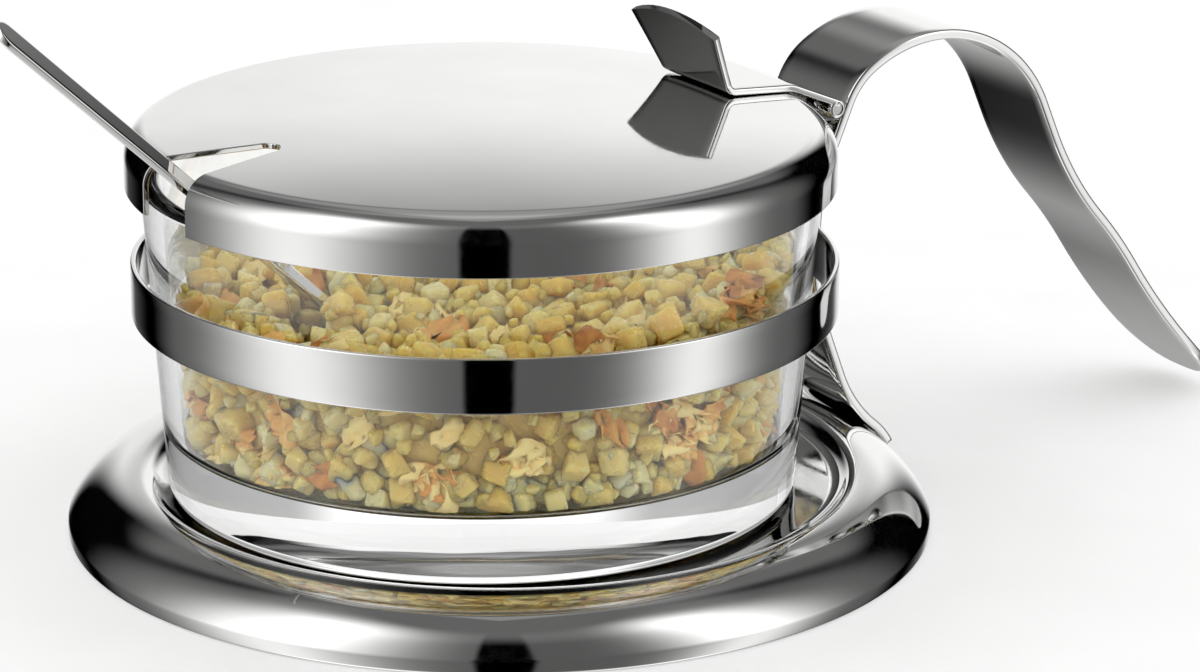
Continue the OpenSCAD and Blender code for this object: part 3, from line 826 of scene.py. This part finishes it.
def place_leaf(mark, across, deep):
    """A point of the leaf's section; the tab's upper edge is drawn down into its dome."""
    (x, z), heading = mark
    gone = tab_gone(mark)
    way = math.radians(heading)
    if gone > 0:
        dome = tab_h - tab_arc_r + math.sqrt(tab_arc_r ** 2 - across ** 2)
        short = gone * (1 - dome / tab_h)
        x -= short * math.cos(way)
        z -= short * math.sin(way)
    x, z = to_the_right(((x, z), heading), -deep)
    return (x * mm, across * mm, z * mm)


def add_knuckle(mesh, outer_r, bore_r, low, high):
    """A curled knuckle about the hinge line, from low to high along it, with eased ends."""
    ease = 0.15
    outline = [(bore_r, low), (outer_r - ease, low), (outer_r, low + ease), (outer_r, high - ease),
               (outer_r - ease, high), (bore_r, high)]
    part = bmesh.new()
    add_turned(part, outline, steps=48)
    turn = Matrix.Translation((pin_x * mm, 0, hinge_z * mm)) @ Matrix.Rotation(math.radians(-90), 4, "X")
    bmesh.ops.transform(part, matrix=turn, verts=part.verts[:])
    spare = bpy.data.meshes.new("knuckle")
    part.to_mesh(spare)
    part.free()
    mesh.from_mesh(spare)
    bpy.data.meshes.remove(spare)


mesh = bmesh.new()
add_strip(mesh, leaf_marks, leaf_half_at, leaf_t, leaf_edge_r, even_columns, place_leaf)
add_knuckle(mesh, knuckle_r, knuckle_bore_r, knuckle_from, knuckle_to)
add_knuckle(mesh, knuckle_r, knuckle_bore_r, -knuckle_to, -knuckle_from)
leaf = finished_piece("lid_leaf_and_tab", mesh, mirror_steel)
leaf.data.set_sharp_from_angle(angle=math.radians(60))
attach(leaf, "lid")
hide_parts("lid_leaf")

# Spoon
# A small stamped spoon of the same steel: a round bowl buried in the salt and a long flat stem
# that widens to a round end, passing over the jar's rim and out through the notch.
spoon_length = 89.0
bowl_r = 8.0
bowl_depth = 4.0
bowl_t = 0.8
stem_t = 1.0
stem_edge_r = 0.25
stem_lap = 0.6
stem_round = 16
neck_half = 1.5
stem_end_half = 2.3
ball_r = (bowl_r ** 2 + bowl_depth ** 2) / (2 * bowl_depth)
bowl_turn = math.degrees(math.asin(bowl_r / ball_r))
bowl_marks = follow((0, -bowl_depth), 0, [(ball_r, bowl_turn)], bend_step=3)
stem_end = spoon_length - bowl_r - stem_end_half
stem_marks = follow((bowl_r - stem_lap, 0), 0, [(stem_end - bowl_r + stem_lap, 0)], run_step=1.5)
for k in range(1, stem_round + 1):
    stem_marks.append(((stem_end + stem_end_half * math.sin(math.pi / 2 * k / stem_round), 0), 0))


def stem_half_at(mark):
    """Half the stem's width: an even taper, then the round of its end."""
    along = mark[0][0]
    if along <= stem_end:
        return neck_half + (stem_end_half - neck_half) * along / stem_end
    return math.sqrt(max(0.0004, stem_end_half ** 2 - (along - stem_end) ** 2))


mesh = bmesh.new()
add_turned(mesh, sheet_section(bowl_marks, bowl_t), steps=96)
add_strip(mesh, stem_marks, stem_half_at, stem_t, stem_edge_r, even_columns, place_strip)
bmesh.ops.transform(mesh, matrix=spoon_lie, verts=mesh.verts[:])
spoon = finished_piece("spoon", mesh, mirror_steel)
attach(spoon, "spoon")
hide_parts("spoon")

# Floor
# A wide sheet of pale matt board under the object. Polished metal doesn't mirror it: the studio
# light below shows there instead, as it does over a light table.
floor_half = 4.0
floor_shades = [(0.3, (0.90, 0.90, 0.90)), (0.7, (0.93, 0.93, 0.93))]
mesh = bmesh.new()
bmesh.ops.create_grid(mesh, x_segments=8, y_segments=8, size=floor_half)
board, nodes, links, shader, place = blank_finish("pale_board")
fibre = add_noise(nodes, links, place, scale=30, detail=4)
links.new(add_ramp(nodes, links, fibre, floor_shades), shader.inputs["Base Color"])
links.new(add_range(nodes, links, fibre, low=0.7, high=0.8), shader.inputs["Roughness"])
floor = finished_piece("floor", mesh, board)
floor.visible_glossy = False

# Studio light
# Matt surfaces get a plain soft dome, stronger through glass. Mirrors and glass see a pattern:
# two soft panels beside the camera with a dark gap between them, dark flags, a white backdrop
# behind with the table's far end under it, and a grey ceiling. Angles are in radians.
left_panel = (-1.07, 0.34, 1.0)
right_panel = (1.26, 0.24, 0.95)
panel_rise = (-0.2, 0.4)
panel_gain = 0.7
front_glow = 0.11
front_top = (0.95, 1.3)
gap_middle = 0.045
gap_edge = (0.12, 0.16)
flag_edge = (2.0, 2.35)
backdrop_edge = (2.7, 2.92)
backdrop_top = (1.2, 1.5)
backdrop_shade = (0.24, 0.50)
backdrop_upper = 0.20
backdrop_lower = 0.88
left_edge = (-0.05, 0.15)
left_loss = 0.12
table_rim = (-0.55, -0.1)
table_edge = (2.4, 3.1)
table_power = 0.45
below_rim = (-1.0, -0.6)
below_power = 0.5
back_rise = (0.45, 0.65)
back_edge = (2.2, 2.5)
back_power = 0.15
ceiling_rise = (0.9, 1.2)
ceiling_power = 0.15
glass_gain = 0.5
dome_power = 1.15
dome_through_glass = 1.7
camera_way = Vector((-0.5292, -0.8485, 0))
camera_side = Vector((0.8485, -0.5292, 0))
studio = bpy.data.worlds.new("studio")
bpy.context.scene.world = studio
studio.use_nodes = True
nodes = studio.node_tree.nodes
links = studio.node_tree.links
background = nodes["Background"]
background.inputs["Color"].default_value = (1, 1, 1, 1)
way = nodes.new("ShaderNodeTexCoord").outputs["Generated"]


def sum_of(kind, first, second=None, third=None):
    """A sum in the studio's light: each of its terms is another sum's result or a number."""
    step = nodes.new("ShaderNodeMath")
    step.operation = kind
    for socket, term in zip(step.inputs, (first, second, third)):
        if isinstance(term, (int, float)):
            socket.default_value = term
        elif term is not None:
            links.new(term, socket)
    return step.outputs["Value"]


def part_along(direction):
    """How far the light's direction goes along another one."""
    dot = nodes.new("ShaderNodeVectorMath")
    dot.operation = "DOT_PRODUCT"
    dot.inputs[1].default_value = direction
    links.new(way, dot.inputs[0])
    return dot.outputs["Value"]


def eased(value, start, stop):
    """Nought before the start, one after the stop, with a soft step between."""
    step = nodes.new("ShaderNodeMapRange")
    step.interpolation_type = "SMOOTHSTEP"
    step.inputs["From Min"].default_value = start
    step.inputs["From Max"].default_value = stop
    links.new(value, step.inputs["Value"])
    return step.outputs["Result"]


def soft_panel(middle, spread, power):
    """A panel that is brightest in its middle and fades to its sides."""
    away = sum_of("DIVIDE", sum_of("SUBTRACT", around, middle), spread)
    fade = sum_of("EXPONENT", sum_of("MULTIPLY", sum_of("MULTIPLY", away, away), -0.5))
    return sum_of("MULTIPLY", fade, power)


def turned_down(value):
    """One less the value."""
    return sum_of("SUBTRACT", 1.0, value)


path = nodes.new("ShaderNodeLightPath").outputs
around = sum_of("ARCTAN2", part_along(camera_side), part_along(camera_way))
height = sum_of("ARCSINE", part_along((0, 0, 1)))
off_middle = sum_of("ABSOLUTE", around)
panels = sum_of("ADD", soft_panel(*left_panel), soft_panel(*right_panel))
panels = sum_of("MULTIPLY", panels, sum_of("MULTIPLY_ADD", eased(height, *panel_rise), panel_gain, 1.0))
front = sum_of("ADD", panels, front_glow)
off_gap = sum_of("ABSOLUTE", sum_of("SUBTRACT", around, gap_middle))
front = sum_of("MULTIPLY", front, eased(off_gap, *gap_edge))
front = sum_of("MULTIPLY", front, turned_down(eased(off_middle, *flag_edge)))
front = sum_of("MULTIPLY", front, turned_down(eased(height, *front_top)))
backdrop_fall = turned_down(eased(height, *backdrop_shade))
backdrop_fall = sum_of("MULTIPLY_ADD", backdrop_fall, backdrop_lower, backdrop_upper)
backdrop = sum_of("MULTIPLY", eased(off_middle, *backdrop_edge), turned_down(eased(height, *backdrop_top)))
backdrop = sum_of("MULTIPLY", backdrop, backdrop_fall)
backdrop = sum_of("MULTIPLY", backdrop, eased(height, *table_rim))
left_fall = sum_of("MULTIPLY", eased(part_along(-camera_side), *left_edge), left_loss)
backdrop = sum_of("MULTIPLY", backdrop, turned_down(left_fall))
table_back = sum_of("MULTIPLY", eased(off_middle, *table_edge), table_power)
table_back = sum_of("MULTIPLY", table_back, turned_down(eased(height, *table_rim)))
below = sum_of("MULTIPLY", turned_down(eased(height, *below_rim)), below_power)
back_high = sum_of("MULTIPLY", eased(height, *back_rise), eased(off_middle, *back_edge))
back_high = sum_of("MULTIPLY", back_high, back_power)
ceiling = sum_of("MULTIPLY", eased(height, *ceiling_rise), ceiling_power)
mirrored = sum_of("MULTIPLY", path["Is Transmission Ray"], glass_gain)
for light in (front, backdrop, table_back, below, back_high, ceiling):
    mirrored = sum_of("ADD", mirrored, light)
before_matt = turned_down(sum_of("MINIMUM", path["Diffuse Depth"], 1.0))
is_mirrored = sum_of("MULTIPLY", path["Is Glossy Ray"], before_matt)
dome = sum_of("MULTIPLY_ADD", path["Is Transmission Ray"], dome_through_glass, dome_power)
dome = sum_of("MULTIPLY", turned_down(is_mirrored), dome)
shown = sum_of("MULTIPLY_ADD", is_mirrored, mirrored, dome)
links.new(shown, background.inputs["Strength"])

# Camera
# A long lens a little above the lid, off the handle's far side, square to the photograph's frame.
eye = Vector((-290.5, -496.5, 208.4)) * mm
look_back = Vector((-0.5046, -0.8092, 0.3011)).normalized()
tilt = math.radians(0.384)
level_right = Vector((0, 0, 1)).cross(look_back).normalized()
level_up = look_back.cross(level_right)
right = level_right * math.cos(tilt) + level_up * math.sin(tilt)
up = level_up * math.cos(tilt) - level_right * math.sin(tilt)
lens = bpy.data.cameras.new("camera")
lens.sensor_width = 36.0
lens.lens = 131.73
lens.clip_start = 0.01
camera = bpy.data.objects.new("camera", lens)
camera.matrix_world = Matrix(((right.x, up.x, look_back.x, eye.x), (right.y, up.y, look_back.y, eye.y),
                              (right.z, up.z, look_back.z, eye.z), (0, 0, 0, 1)))
bpy.context.scene.collection.objects.link(camera)
bpy.context.scene.camera = camera
bpy.context.scene.view_settings.view_transform = "Standard"
